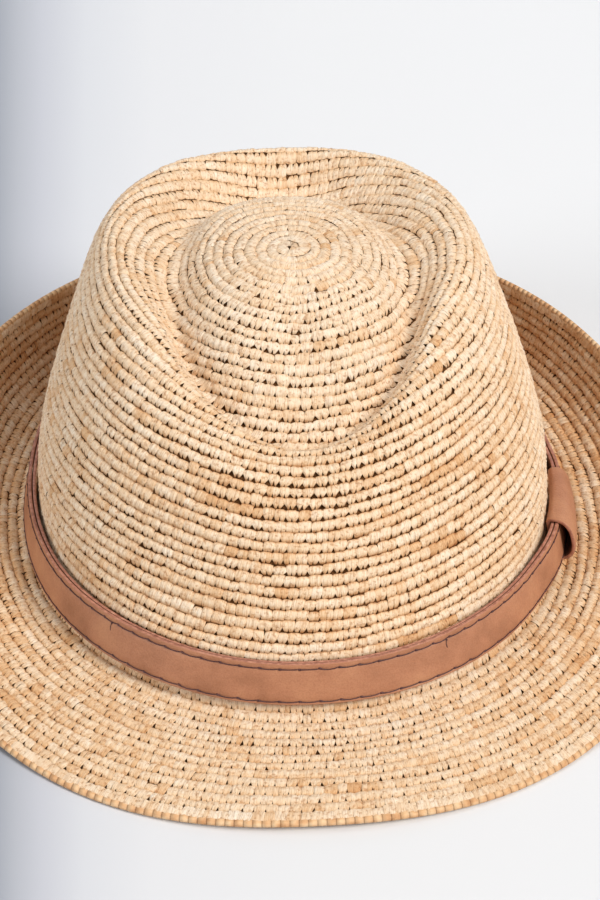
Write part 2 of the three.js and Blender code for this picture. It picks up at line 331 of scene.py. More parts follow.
def noise(material, place, scale, detail, roughness=0.5):
    """A soft random value, in blots about 1 / scale wide."""
    return add(material, "ShaderNodeTexNoise", {
        "Vector": place, "Scale": scale, "Detail": detail, "Roughness": roughness,
    }).outputs["Fac"]


def ramp(material, factor, stops):
    """Colours along a value, as pairs of a place and a screen colour."""
    made = add(material, "ShaderNodeValToRGB", {"Fac": factor})
    elements = made.color_ramp.elements
    while len(elements) < len(stops):
        elements.new(0.5)
    for element, (place, code) in zip(elements, stops):
        element.position = place
        element.color = linear(code)
    return made.outputs["Color"]


def multiply(material, share, colour, over):
    """A colour multiplied by a share of another."""
    return add(material, "ShaderNodeMix", {0: share, 6: colour, 7: over},
               data_type="RGBA", blend_type="MULTIPLY").outputs[2]


def bump(material, height, strength, distance, under=None):
    """A fine relief from a value, on top of another relief where there is one."""
    inputs = {"Height": height, "Strength": strength, "Distance": distance}
    if under is not None:
        inputs["Normal"] = under
    return add(material, "ShaderNodeBump", inputs).outputs["Normal"]


def finish(material, colour, relief, values):
    """Joins colour and relief to the surface shader, and sets the shader's own values."""
    surface = material.node_tree.nodes["Principled BSDF"]
    material.node_tree.links.new(colour, surface.inputs["Base Color"])
    if relief is not None:
        material.node_tree.links.new(relief, surface.inputs["Normal"])
    for name, value in values.items():
        surface.inputs[name].default_value = value
    return material


# %% [markdown]
# ## Crocheted raffia
# Raffia is the skin of a palm leaf, split and rolled between the fingers into a soft, slightly
# flattened strand. It is matt with a faint satin sheen, and every strand carries fine lines along
# its length. Each leaf dries to its own colour, so the shade changes every few stitches
# from cream to orange tan. That shade is stored on the stitches as an attribute named tone; it also
# holds painted light, a little lighter high on the crown, and painted shade, browner on the brim's
# back. Another, named depth, holds painted shade: the straw is painted browner where a point lies
# down in the crochet, standing in for the shade there.
# The lines along a strand are real ones of about 0.1 mm; they are drawn at 0.3 mm, because finer
# ones don't show in the render. So are the frayed fibres: flecks of about 1 mm, a little raised,
# keep the strand from looking smooth.

# %% Raffia of the stitches
FRAYED_DEPTH = 0.3 * MM
LINE_DEPTH = 0.25 * MM


def raffia_material():
    """Each leaf's own colour, darkened by fibre lines, by flecks and by painted shade where the crochet is
    deep.
    """
    material = new_material("raffia strand")
    along = add(material, "ShaderNodeMapping", {
        "Vector": coordinates(material, "UV"), "Scale": (4.2, 0.25, 1),
    }).outputs["Vector"]
    line = noise(material, along, 1.0, 3.0, 0.6)
    fleck = noise(material, coordinates(material, "Object"), 950.0, 2.0)
    tone, depth = (add(material, "ShaderNodeAttribute", attribute_name=name).outputs["Fac"]
                   for name in ("tone", "depth"))
    leaf = ramp(material, tone, [
        (0.0, "#d9ab7c"), (0.3, "#e9c7a0"), (0.55, "#f6e2c8"), (0.8, "#faecd9"), (1.0, "#fcf3e5"),
    ])
    lines = ramp(material, line, [(0.3, "#a87f5a"), (0.46, "#ebdccb"), (0.58, "#ffffff"), (0.8, "#fff8ee")])
    flecks = ramp(material, fleck, [(0.3, "#bd9065"), (0.43, "#f8eee0"), (0.53, "#ffffff"), (0.7, "#fffaf0")])
    # Painted shade: the straw turns brown where the depth attribute is high, in the creases and holes,
    # standing in for the shade that falls there.
    painted_crease_shade = ramp(material, depth, [
        (0.0, "#ffffff"), (0.3, "#f8ecdc"), (0.65, "#cfa67c"), (1.0, "#6b3f24"),
    ])
    colour = leaf
    for share, over in ((0.55, lines), (0.62, flecks), (1.0, painted_crease_shade)):
        colour = multiply(material, share, colour, over)
    relief = bump(material, line, 0.8, LINE_DEPTH, bump(material, fleck, 0.8, FRAYED_DEPTH))
    return finish(material, colour, relief, {"Roughness": 0.62, "IOR": 1.46, "Specular IOR Level": 0.35})


RAFFIA = raffia_material()
print("material:", RAFFIA.name)

# %% [markdown]
# ## One stitch, and a hat of them
# Seen from outside, a single crochet stitch is two legs of straw that lean together at the top and
# spread at the bottom, with a small dark hole between their feet. Each leg is a flat grid bent into
# a soft half tube, a few dozen faces for the stitch. Thousands of copies are set side by side along
# the spiral and wrapped on the form by the grid of rounds. Every copy differs a little in
# spread, height and lean, as handwork does.

# %% The leg of a stitch
EVEN = [-1.0, -0.5, 0.0, 0.5, 1.0]
LEG_ACROSS = [-1.0, -0.76, 0.0, 0.76, 1.0]
LEG_ALONG = [0.0, 0.17, 0.5, 0.83, 1.0]


def leg_grid():
    """A flat grid from -1 to 1 across the leg, and 0 at its foot to 1 at its top."""
    bm = bmesh.new()
    bmesh.ops.create_grid(bm, x_segments=4, y_segments=4, size=1.0)
    bm.verts.ensure_lookup_table()
    points = np.array([(np.interp(v.co.x, EVEN, LEG_ACROSS), np.interp(v.co.y, EVEN, LEG_ALONG))
                       for v in bm.verts])
    faces = np.array([[v.index for v in f.verts] for f in bm.faces])
    bm.free()
    return points, faces


LEG_POINTS, LEG_FACES = leg_grid()
print("faces in a stitch:", 2 * len(LEG_FACES))

ACROSS, ALONG = LEG_POINTS.T
TO_SIDE = np.abs(ACROSS)
FOOT = np.clip(1 - ALONG / 0.5, 0, 1) ** 1.15      # only the lower half of a leg spreads

# %% Sizes of the stitches
STITCH_WIDTH_CROWN = 3.5 * MM
STITCH_WIDTH_BRIM = 3.3 * MM
SPIRAL_END = 44          # the spiral closes into rings under the band
SPIRAL_EASE = 4
LOOSE_ROUND = 26         # the bend above the forehead pulls the stitches open
EDGE_ROUND = UPPER_ROUNDS - 1
ROUND_SAMPLES = 721

# Along the round, as shares of a stitch
GAP_BETWEEN = 0.205      # half the hole between two stitches' feet
GAP_WITHIN = 0.09        # and between the feet of one stitch
OVERLAP = 0.282          # half a leg's width, a little over a quarter so that legs touch
LEAN = 0.10              # from the foot to the top

# Down the wall, as shares of a round
LEG_FOOT = 1.06          # the foot lies on the edge of the next round
LEG_LENGTH = 1.10
LEG_CORNER = 0.10        # the outer corner of the top is rounded off

# Into the crochet, in mm
LEG_SUNK = 0.05
CREASE_FOOT = 1.15       # both ends of a leg dive down
CREASE_TOP = 0.75
SEAM_BETWEEN = 0.25      # and its sides a little
SEAM_WITHIN = 0.12

# How uneven handwork is: the spread of each measure, in the units above
SPREAD = {
    "width": 0.08, "drift": 0.5, "lean": 0.09, "rise": 0.06, "leg": 0.013,
    "lift": 0.05, "crumple": 0.09, "tone": 0.07, "tension": 0.25, "round tension": 0.08,
}
DARK_SHARE = 0.016       # of the runs of yarn
RUN_LENGTH = (1, 7)      # stitches of one shade
STRAND_MM = (0.9, 3.6)   # half a leg's width and its length, for the lines along it


# %% Where stitches lie, and how they differ


def round_places(number):
    """Turns where the stitches of a round begin, all of nearly one width."""
    turns = np.linspace(0, 1, ROUND_SAMPLES)
    climb = min(max((SPIRAL_END - number) / SPIRAL_EASE, 0), 1)
    line = wrap(turns, number + 0.5 + climb * turns, np.zeros_like(turns))
    walked = np.concatenate([[0], np.cumsum(np.linalg.norm(np.diff(line, axis=0), axis=1))])
    width = STITCH_WIDTH_CROWN if number < CROWN_ROUNDS else STITCH_WIDTH_BRIM
    count = max(5, round(walked[-1] / width))
    places = np.arange(count + 1.0)
    # The drift keeps the stitches of two rounds from standing in line
    drift = float(chance.uniform(-SPREAD["drift"], SPREAD["drift"]))
    places[1:-1] += (chance.normal(0, SPREAD["width"], count - 1)
                     + drift * np.sin(np.pi * places[1:-1] / count))
    return np.interp(places / count * walked[-1], walked, turns), climb


def yarn_tones(count):
    """A shade for each stitch along the yarn, that holds for a few stitches and then changes."""
    tones = []
    while len(tones) < count:
        shade = float(np.clip(chance.normal(0.6, 0.08), 0.02, 1.0))
        if chance.random() < DARK_SHARE:
            shade = float(chance.uniform(0.22, 0.42))
        tones += [shade] * int(chance.integers(*RUN_LENGTH))
    return np.array(tones[:count])


def stitch_tones(number, count, ahead):
    """Shades of a round: random tones, a little lighter high on the crown as painted light, and browner on
    the brim's back as painted shade.
    """
    shade = yarn_tones(count) + chance.normal(0, SPREAD["tone"], count)
    if number >= CROWN_ROUNDS:
        # Painted shade: the brim grows browner towards its back, standing in for the shade there.
        shade = shade - 0.22 * (1 - ahead)
    elif number < LOOSE_ROUND:
        # Painted light: the stitches high on the crown are a little lighter.
        shade = shade + 0.08
    return np.clip(shade, 0, 1)


def openness(number, count, ahead):
    """How far the feet stand apart: some rounds and some stretches are worked looser."""
    knots = 2 + count // 9
    slow = np.interp(np.arange(count), np.linspace(0, count, knots),
                     chance.normal(0, SPREAD["tension"], knots))
    pulled = 0.9 * math.exp(-((number - LOOSE_ROUND) / 2.5) ** 2) * ahead ** 3
    even = 0.85 + 0.3 * ahead + chance.normal(0, SPREAD["round tension"])
    opened = np.clip(even + pulled + slow + chance.normal(0, SPREAD["tension"], count), 0.2, 2.2)
    return opened * np.interp(number, [0, 9, 45, 48], [0.15, 1, 1, 0.85])


def shadow(number, ahead):
    """How strong the painted shade in the creases is: most on the wall in front, least on the tip and the
    brim.
    """
    if number >= CROWN_ROUNDS:
        return 0.7 - 0.16 * ahead
    return np.interp(number, [8, 18, 27], [0.35, 0.6, 0.72]) + 0.22 * ahead * (number > 22)


def wander(turns, rounds):
    """How far the lines between the rounds stray from even; they run true at the tip and the edge."""
    angle = 2 * np.pi * turns
    stray = (0.07 * np.sin(3 * angle + 0.6 * rounds) + 0.045 * np.sin(7 * angle - 1.1 * rounds + 1)
             + 0.035 * np.sin(16 * angle + 1.7 * rounds + 2))
    return stray * np.interp(rounds, [0, 6, 55, 59], [0, 1, 1, 0])


# %% The mesh of some rounds


def mesh_piece(name, points, faces, material):
    """An object from arrays of points and of four-sided faces."""
    mesh = bpy.data.meshes.new(name)
    mesh.vertices.add(len(points))
    mesh.vertices.foreach_set("co", points.astype(np.float32).ravel())
    mesh.loops.add(faces.size)
    mesh.loops.foreach_set("vertex_index", faces.astype(np.int32).ravel())
    mesh.polygons.add(len(faces))
    mesh.polygons.foreach_set("loop_start", np.arange(0, faces.size, 4, dtype=np.int32))
    mesh.update(calc_edges=True)
    mesh.validate()
    mesh.shade_smooth()
    mesh.materials.append(material)
    made = bpy.data.objects.new(name, mesh)
    bpy.context.collection.objects.link(made)
    return made


def leg_shape(number, side, opened, loose, lean, rise, lifted):
    """For every stitch, its leg's place along the round, height on the wall and lift off it."""
    count = len(opened)
    outer = ACROSS * side > 0
    gap = np.where(outer, GAP_BETWEEN, GAP_WITHIN) * TO_SIDE * FOOT
    gap = gap * (opened * loose)[:, None]
    place = (0.5 + side * 0.25 + OVERLAP * ACROSS - np.sign(ACROSS) * gap
             + lean[:, None] * (ALONG - 0.5) + chance.normal(0.0, SPREAD["leg"], count)[:, None])
    corner = LEG_CORNER * outer * TO_SIDE * ALONG ** 3
    height = LEG_FOOT - LEG_LENGTH * ALONG + corner + rise[:, None] * ALONG
    seam = np.where(outer, SEAM_BETWEEN, SEAM_WITHIN) * TO_SIDE ** 4
    top = CREASE_TOP if number > 0 else 0.0
    crease = CREASE_FOOT * (1 - ALONG) ** 4.5 + top * ALONG ** 5
    crumple = chance.normal(0, SPREAD["crumple"], (count, len(ALONG)))
    lift = (-LEG_SUNK + lifted[:, None] + crumple - (seam + crease) * loose[:, None]) * MM
    return place, height, lift


def leg_painted_shade(number, side, ahead):
    """How much painted shade the ends and the sides of a leg get, from 0 to 1: most where they dive into the
    crochet.
    """
    deep = np.maximum((1 - ALONG) ** 3.5, 0.6 * ALONG ** 8)
    deep = np.maximum(deep, np.where(ACROSS * side > 0, 0.4, 0.25) * TO_SIDE ** 8)
    return deep * shadow(number, ahead)[:, None] * (0.3 if number == EDGE_ROUND else 1.0)


def stitches(name, first, last):
    """One mesh of all the stitches from one round up to another."""
    points, tones, painted_shades, uvs = [], [], [], []
    for number in range(first, last):
        starts, climb = round_places(number)
        count = len(starts) - 1
        longer = np.concatenate([starts[-3:-1] - 1, starts, starts[1:3] + 1])
        ahead = np.clip(-np.cos(2 * np.pi * starts[:-1]), 0, 1) ** 2      # 1 at the front, 0 behind
        shade = stitch_tones(number, count, ahead)
        lifted = chance.normal(0.0, SPREAD["lift"], count)
        lean = LEAN + chance.normal(0.0, SPREAD["lean"], count)
        rise = chance.normal(0.0, SPREAD["rise"], count)
        opened = openness(number, count, ahead)
        loose = np.ones(count) if number < CROWN_ROUNDS else 1.0 - 0.3 * ahead
        if number < 1 or number == EDGE_ROUND:      # the ends of the spiral are worked tight
            opened, loose = 0.3 * opened, 0.35 * loose
            ahead = ahead + (1 - ahead) * 0.5
        for side in (-1, 1):
            place, height, lift = leg_shape(number, side, opened, loose, lean, rise, lifted)
            turns = np.interp(np.arange(count)[:, None] + place, np.arange(-2, count + 3), longer)
            rounds = number + height + climb * turns
            rounds = rounds + wander(turns, rounds)
            points.append(wrap(turns, rounds, lift).reshape(-1, 3))
            leg_tone = np.clip(shade + chance.normal(0, SPREAD["tone"], count), 0, 1)
            tones.append(np.repeat(leg_tone, len(LEG_POINTS)))
            painted_shades.append(leg_painted_shade(number, side, ahead).ravel())
            shift = chance.uniform(0, 400, (count, 1, 2))      # another stretch of strand for each
            uv = np.stack([ACROSS * STRAND_MM[0], ALONG * STRAND_MM[1]], axis=1)[None] + shift
            uvs.append(uv.reshape(-1, 2))
    points, uvs = np.concatenate(points), np.concatenate(uvs)
    points[:, 2] = np.maximum(points[:, 2], 0)
    legs = len(points) // len(LEG_POINTS)
    faces = (LEG_FACES[None] + (np.arange(legs) * len(LEG_POINTS))[:, None, None]).reshape(-1, 4)
    made = mesh_piece(name, points, faces, RAFFIA)
    # The depth attribute carries the painted shade of the creases to the material.
    for label, values in (("tone", tones), ("depth", painted_shades)):
        layer = made.data.attributes.new(label, "FLOAT", "POINT")
        layer.data.foreach_set("value", np.concatenate(values).astype(np.float32))
    layer = made.data.uv_layers.new(name="UVMap")
    layer.data.foreach_set("uv", uvs[faces.reshape(-1)].astype(np.float32).ravel())
    print(name, legs // 2, "stitches,", len(faces) * 2, "triangles")
    return made


def straw_piece(made):
    """Rides on the hat and stands for its solid."""
    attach(made, "root")
    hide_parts("crocheted_hat")


for name, first, last in (
    ("stitches_of_the_tip", -1, 24),
    ("stitches_of_the_shoulder", 24, 36),
    ("stitches_of_the_wall", 36, 46),
    ("stitches_of_the_brim", 46, 53),
    ("stitches_of_the_edge", 53, 60),
):
    straw_piece(stitches(name, first, last))

# %% [markdown]
# ## The skin under the stitches
# Between the legs of the stitches one looks down into the shade of the crochet, and from below
# one sees its wrong side. A closed skin gives both: under the stitches straw painted dark, as
# painted shade in the holes, and on the underside the rounds as soft ridges.

# %% Straw painted dark as shade in the holes, and the wrong side


def hole_shade_material():
    """Dull straw painted dark, as painted shade in the holes between the stitches."""
    material = new_material("raffia painted dark as the shade in the holes")
    cloud = noise(material, coordinates(material, "Object"), 900.0, 2.0)
    colour = ramp(material, cloud, [(0.3, "#38230f"), (0.7, "#6e482a")])
    return finish(material, colour, None, {"Roughness": 0.9, "Specular IOR Level": 0.1})


def wrong_side_material():
    """A soft bump for each stitch along the round, with painted shade along the low lines between two."""
    material = new_material("raffia of the wrong side")
    place = coordinates(material, "UV")
    x = add(material, "ShaderNodeSeparateXYZ", {"Vector": place}).outputs["X"]
    middle = calc(material, "SUBTRACT", calc(material, "FRACT", x), 0.5)
    wave = calc(material, "SINE", calc(material, "MULTIPLY", calc(material, "ABSOLUTE", middle), 2 * math.pi))
    leaf = ramp(material, noise(material, place, 1.3, 3.0), [
        (0.25, "#c48b5a"), (0.5, "#e0b384"), (0.75, "#f1d2a8"),
    ])
    # Painted shade: the straw is darkened where the bump is low, in the grooves.
    dark = ramp(material, wave, [(0.0, "#8a6a4c"), (0.35, "#ffffff")])
    relief = bump(material, wave, 0.8, 0.7 * MM)
    return finish(material, multiply(material, 0.7, leaf, dark), relief, {"Roughness": 0.7})


# %% The skin
SKIN_AROUND = 180
DEPTH = 1.15 * MM


def bm_piece(name, bm, materials):
    """An object from a finished bmesh."""
    mesh = bpy.data.meshes.new(name)
    bm.to_mesh(mesh)
    bm.free()
    mesh.shade_smooth()
    for material in materials:
        mesh.materials.append(material)
    made = bpy.data.objects.new(name, mesh)
    bpy.context.collection.objects.link(made)
    print(name, sum(len(p.vertices) - 2 for p in mesh.polygons), "triangles")
    return made


def straw_skin():
    """A flat grid laid on the form: under the stitches, round the rim and along the underside."""
    rows = np.concatenate([np.arange(0.5, UPPER_ROUNDS, 0.5), np.arange(UPPER_ROUNDS, LAST_ROUND, 0.25)])
    ridges = -0.35 * MM * np.cos(math.pi * (rows - UPPER_ROUNDS - 1)) ** 2
    sunk = np.where(rows < UPPER_ROUNDS + 1, -0.1 * MM, ridges)
    covered = -DEPTH * np.interp(rows, [1, 3, 58.5, 60], [0.5, 1, 1, 0.15])
    sunk = np.where(rows <= UPPER_ROUNDS, covered, sunk)
    bm = bmesh.new()
    bmesh.ops.create_grid(bm, x_segments=SKIN_AROUND, y_segments=len(rows) - 1, size=0.5)
    flat = np.array([v.co[:2] for v in bm.verts]) + 0.5
    turns, order = flat[:, 0], np.rint(flat[:, 1] * (len(rows) - 1)).astype(int)
    bm.verts.index_update()
    layer = bm.loops.layers.uv.new("UVMap")
    for f in bm.faces:
        corners = [v.index for v in f.verts]
        # Faces under the stitches get the straw painted dark as shade; the rim and the underside get the
        # wrong side.
        f.material_index = int(rows[order[corners]].mean() > UPPER_ROUNDS - 0.4)
        for loop in f.loops:
            loop[layer].uv = (turns[loop.vert.index] * SKIN_AROUND, rows[order[loop.vert.index]])
    for v, co in zip(bm.verts, wrap(turns, rows[order], sunk[order])):
        v.co = (co[0], co[1], max(co[2], 0))
    bmesh.ops.remove_doubles(bm, verts=bm.verts, dist=0.01 * MM)
    bmesh.ops.holes_fill(bm, edges=[e for e in bm.edges if e.is_boundary], sides=0)
    bmesh.ops.recalc_face_normals(bm, faces=bm.faces)
    return bm_piece("straw_skin", bm, [hole_shade_material(), wrong_side_material()])


straw_piece(straw_skin())

# %% [markdown]
# ## The leather band
# The band is two plies of vegetable-tanned leather, sewn together along both edges. It is cut flat
# as a long strip, its edges are rounded and painted dark, and then it is bent round the crown.
# The model does the same: a flat grid gets its thickness and bevelled edges, and is then bent by
# the same straight sections that place the band's solids.

# %% Where the strap runs
BAND_HEIGHT = 12.8 * MM
PLY_THICKNESS = 1.1 * MM
PLY_GAP = 0.3 * MM
BAND_CLEARANCE = 0.45 * MM
BAND_SEAT = 2.4 * MM
SIDE_SLACK = 0.2 * MM
KEEPER_START = 63
KEEPER_LENGTH = 29.0 * MM
KEEPER_WALL = 1.3 * MM
KEEPER_CLEARANCE = 0.3 * MM
KEEPER_SLACK = 0.2 * MM
KEEPER_ROUNDNESS = 2.4
KEEPER_FRONT_HOLLOW = 3.0 * MM
KEEPER_BACK_HOLLOW = 1.0 * MM
KEEPER_EASE = 16
BAND_THICKNESS = 2 * PLY_THICKNESS + PLY_GAP
WALL_STEPS = 3            # points for each span, as few as the solids have
BAND_SAMPLES = 1441


def keeper_end():
    """Direction of the keeper's back lip, from its length along the band."""
    angle, length = KEEPER_START, 0.0
    while length < KEEPER_LENGTH:
        length += float(opening_reach(angle + 0.5) + BAND_CLEARANCE + PLY_THICKNESS) * math.radians(1)
        angle += 1
    return angle - (length - KEEPER_LENGTH) / float(opening_reach(angle) * math.radians(1))


KEEPER_END = keeper_end()


def band_gap(angle):
    """Space between straw and band, which grows where the keeper's wall passes behind the band."""
    slack = BAND_CLEARANCE + SIDE_SLACK * math.sin(math.radians(angle)) ** 2
    room = KEEPER_WALL + 2 * KEEPER_CLEARANCE + KEEPER_SLACK
    turned = (angle + 540) % 360 - 180
    away = max(KEEPER_START - turned, turned - KEEPER_END, 0)
    share = (1 + math.cos(math.pi * min(away / KEEPER_EASE, 1))) / 2
    return slack + max(room - slack, 0) * share


def strap_frame(angle):
    """Lower inside corner of the strap's section, and its directions up and out."""
    wall = section([angle], 0, CROWN_SPANS, WALL_STEPS)[0][::-1]
    foot = float(row_at(BRIM_ROWS, np.array([float(angle)]))[0, 0]) * FRONT_LIFT

    def reach_at(rise):
        i = 1
        while wall[i][1] < rise:
            i += 1
        t = (rise - wall[i - 1][1]) / (wall[i][1] - wall[i - 1][1])
        return wall[i - 1][0] + (wall[i][0] - wall[i - 1][0]) * t

    bottom = foot + BAND_SEAT
    base = np.array([reach_at(bottom), bottom])
    up = np.array([reach_at(bottom + BAND_HEIGHT), bottom + BAND_HEIGHT]) - base
    up /= np.linalg.norm(up)
    out = np.array([up[1], -up[0]])
    beside = [p - base for p in wall if 0 < (p - base) @ up < BAND_HEIGHT]
    bulge = max([0.0] + [float(p @ out) for p in beside])
    return base + out * (bulge + band_gap(angle)), up, out


STRAP = [strap_frame(angle) for angle in range(360)]
STRAP_BASE = np.array([s[0] for s in STRAP])
STRAP_UP = np.array([s[1] for s in STRAP])
STRAP_OUT = np.array([s[2] for s in STRAP])


def strap_point(angle, height, depth):
    """Points of the strap from arrays of degrees, height up its face and depth out."""
    a0 = np.floor(angle).astype(int)
    t = (angle - a0)[:, None]

    def at(values):
        return values[a0 % 360] * (1 - t) + values[(a0 + 1) % 360] * t

    flat = at(STRAP_BASE) + at(STRAP_UP) * height[:, None] + at(STRAP_OUT) * depth[:, None]
    turn = np.radians(angle)
    x, y = flat[:, 0] * np.sin(turn), -flat[:, 0] * np.cos(turn) + FORWARD
    return np.stack([x, y, flat[:, 1] + RAISE], axis=1)


# Length along the middle of the band's face, from the join behind the keeper
JOIN = (KEEPER_START + KEEPER_END) / 2
walk = np.linspace(JOIN, JOIN + 360, BAND_SAMPLES)
track = strap_point(walk, np.full(BAND_SAMPLES, BAND_HEIGHT / 2), np.full(BAND_SAMPLES, BAND_THICKNESS))
walked = np.concatenate([[0], np.cumsum(np.linalg.norm(np.diff(track, axis=0), axis=1))])
BAND_LENGTH = walked[-1]


def angle_at(length):
    """Direction of a place along the strip."""
    return np.interp(length, walked, walk)


print("band round the crown, mm:", round(BAND_LENGTH / MM, 1))

# %% [markdown]
# ## Leather, its painted edge and the thread
# Vegetable-tanned leather is smooth with fine pores and small wrinkles, satin rather than shiny,
# and its tan shade varies softly from place to place. The cut edges are sealed with dark red-brown
# edge paint, which is glossier. The thread is waxed and nearly black.

# %% Materials of the band
GRAIN_DEPTH = 0.2 * MM


def leather_material(name, light, middle, dark, roughness):
    """Clouds of shade 2 cm wide, and pores of 1 mm and wrinkles of 0.5 mm, coarser than real ones."""
    material = new_material(name)
    place = coordinates(material, "Object")
    pores = add(material, "ShaderNodeTexVoronoi", {"Vector": place, "Scale": 1100.0}).outputs["Distance"]
    wrinkles = noise(material, place, 2200.0, 3.0)
    cloud = noise(material, place, 55.0, 4.0, 0.6)
    colour = ramp(material, cloud, [(0.3, dark), (0.5, middle), (0.72, light)])
    # Darker in the low places of the wrinkles, at a quarter strength.
    wrinkle_darkening = ramp(material, wrinkles, [(0.3, "#b89a86"), (0.6, "#ffffff")])
    relief = bump(material, wrinkles, 0.3, GRAIN_DEPTH, bump(material, pores, 0.35, GRAIN_DEPTH))
    return finish(material, multiply(material, 0.25, colour, wrinkle_darkening), relief, {
        "Roughness": roughness, "IOR": 1.5, "Specular IOR Level": 0.4,
    })


def speckled_material(name, scale, detail, stops, strength, roughness):
    """One noise gives both the colour and the relief."""
    material = new_material(name)
    speck = noise(material, coordinates(material, "Object"), scale, detail)
    relief = bump(material, speck, strength, GRAIN_DEPTH)
    return finish(material, ramp(material, speck, stops), relief, {"Roughness": roughness})


LEATHER = leather_material("vegetable-tanned leather", "#c48d69", "#b67e5e", "#a06c4e", 0.5)
# The flesh side is real, but it is painted darker than it is, as painted shade inside the keeper and on the
# backing in the gap behind the band.
FLESH_PAINTED_DARK = leather_material("flesh side of the leather, painted darker as shade", "#8f6549", "#7a5440", "#634230", 0.75)
# The paint is worn lighter in spots of 1 to 2 mm
EDGE_PAINT = speckled_material(
    "painted leather edge", 700.0, 3.0, [(0.35, "#98604e"), (0.55, "#b67d68"), (0.75, "#cd9880")], 0.3, 0.42)
# The thread's twist shows as specks of 0.4 mm
THREAD = speckled_material("waxed thread", 2500.0, 2.0, [(0.35, "#33191c"), (0.7, "#63393a")], 0.5, 0.5)
print("materials:", [made.name for made in (LEATHER, FLESH_PAINTED_DARK, EDGE_PAINT, THREAD)])

# %% The two plies
BAND_STEPS = 300
SHARP = 1.0               # radians between two faces, from where their edge is rounded
CUT_ROUNDING = 0.3 * MM   # of the plies' cut edges
SEAM_DEPTH = 0.24 * MM    # how far the thread pulls the leather in
SEAM_WIDTH = 0.28 * MM
SORT_ALONG = Vector((1.0, 1.7, 2.9))      # a direction in which no two faces are level
LOWER_SEAM = 0.95 * MM
UPPER_SEAM = BAND_HEIGHT - 1.7 * MM
PLY_ROWS = [
    0, 0.4 * MM, 0.7 * MM, LOWER_SEAM, 1.2 * MM, 1.55 * MM, 3.2 * MM, 6.2 * MM, 9.2 * MM,
    UPPER_SEAM - 0.6 * MM, UPPER_SEAM - 0.25 * MM, UPPER_SEAM, UPPER_SEAM + 0.25 * MM,
    UPPER_SEAM + 0.7 * MM, BAND_HEIGHT - 0.4 * MM, BAND_HEIGHT,
]


def leather_piece(made, node):
    """Rides on the hat and stands for a solid of the band."""
    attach(made, "root")
    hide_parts(node)


def ply(name, inner_depth, pulled_in, material):
    """A flat strip with rounded, painted edges and sunk seams, bent round the crown."""
    bm = bmesh.new()
    bmesh.ops.create_grid(bm, x_segments=BAND_STEPS, y_segments=len(PLY_ROWS) - 1, size=0.5)
    even = np.linspace(-0.5, 0.5, len(PLY_ROWS))
    for v in bm.verts:
        v.co.x, v.co.y = (v.co.x + 0.5) * BAND_LENGTH, np.interp(v.co.y, even, PLY_ROWS)
    bmesh.ops.solidify(bm, geom=bm.faces, thickness=-PLY_THICKNESS)
    low = min(v.co.z for v in bm.verts)
    bmesh.ops.translate(bm, verts=bm.verts, vec=(0, 0, -low))
    bmesh.ops.recalc_face_normals(bm, faces=bm.faces)
    long_edges = [e for e in bm.edges if e.calc_face_angle(0) > SHARP
                  and abs(e.verts[0].co.x - e.verts[1].co.x) > 1e-6]
    bmesh.ops.bevel(bm, geom=long_edges, offset=CUT_ROUNDING, segments=3, profile=0.5,
                    affect="EDGES", material=-1, clamp_overlap=True)
    for f in bm.faces:
        f.material_index = 1 if abs(f.normal.y) > 0.6 else 0
    layer = bm.loops.layers.uv.new("UVMap")
    for f in bm.faces:
        for loop in f.loops:
            loop[layer].uv = (loop.vert.co.x / MM, loop.vert.co.y / MM)
    flat = np.array([v.co[:] for v in bm.verts])
    for seam in (LOWER_SEAM, UPPER_SEAM):
        sunk = pulled_in * np.exp(-((flat[:, 1] - seam) / SEAM_WIDTH) ** 2)
        flat[:, 2] -= sunk * (flat[:, 2] > PLY_THICKNESS / 2)
    bent = strap_point(angle_at(flat[:, 0]), flat[:, 1], inner_depth + flat[:, 2])
    for v, co in zip(bm.verts, bent):
        v.co = co
    bmesh.ops.recalc_face_normals(bm, faces=bm.faces)
    if bm.calc_volume(signed=True) < 0:      # so thin a ring can come out inside out
        bmesh.ops.reverse_faces(bm, faces=bm.faces)
    # The rounding leaves its faces in an order that varies, so they are put in one
    bm.faces.sort(key=lambda f: f.calc_center_median().dot(SORT_ALONG))
    return bm_piece(name, bm, [material, EDGE_PAINT])


leather_piece(ply("band_face_ply", PLY_THICKNESS + PLY_GAP, SEAM_DEPTH, LEATHER), "band_face")
# The backing ply wears the flesh side, painted darker as shade in the gap.
leather_piece(ply("band_backing_ply", 0.0, 0.0, FLESH_PAINTED_DARK), "band_backing")

# %% The sewing
STITCH_PITCH = 5.9 * MM
THREAD_SIDES = 6
TACKS = (-37, 23)         # directions of two tack stitches that hold the band to the crown
TACK_LENGTH = 2.8 * MM

# Along a stitch: share of its length, thread's half width, height over the face, drift aside, in mm
THREAD_ROWS = np.array([
    [-0.01, 0.20, -0.32, 0.16],
    [0.03, 0.32, -0.05, 0.18],
    [0.11, 0.33, 0.05, 0.16],
    [0.22, 0.19, -0.05, -0.06],
    [0.50, 0.17, -0.08, -0.17],
    [0.80, 0.17, -0.07, -0.09],
    [0.94, 0.19, -0.10, 0.06],
    [1.02, 0.15, -0.32, 0.16],
])


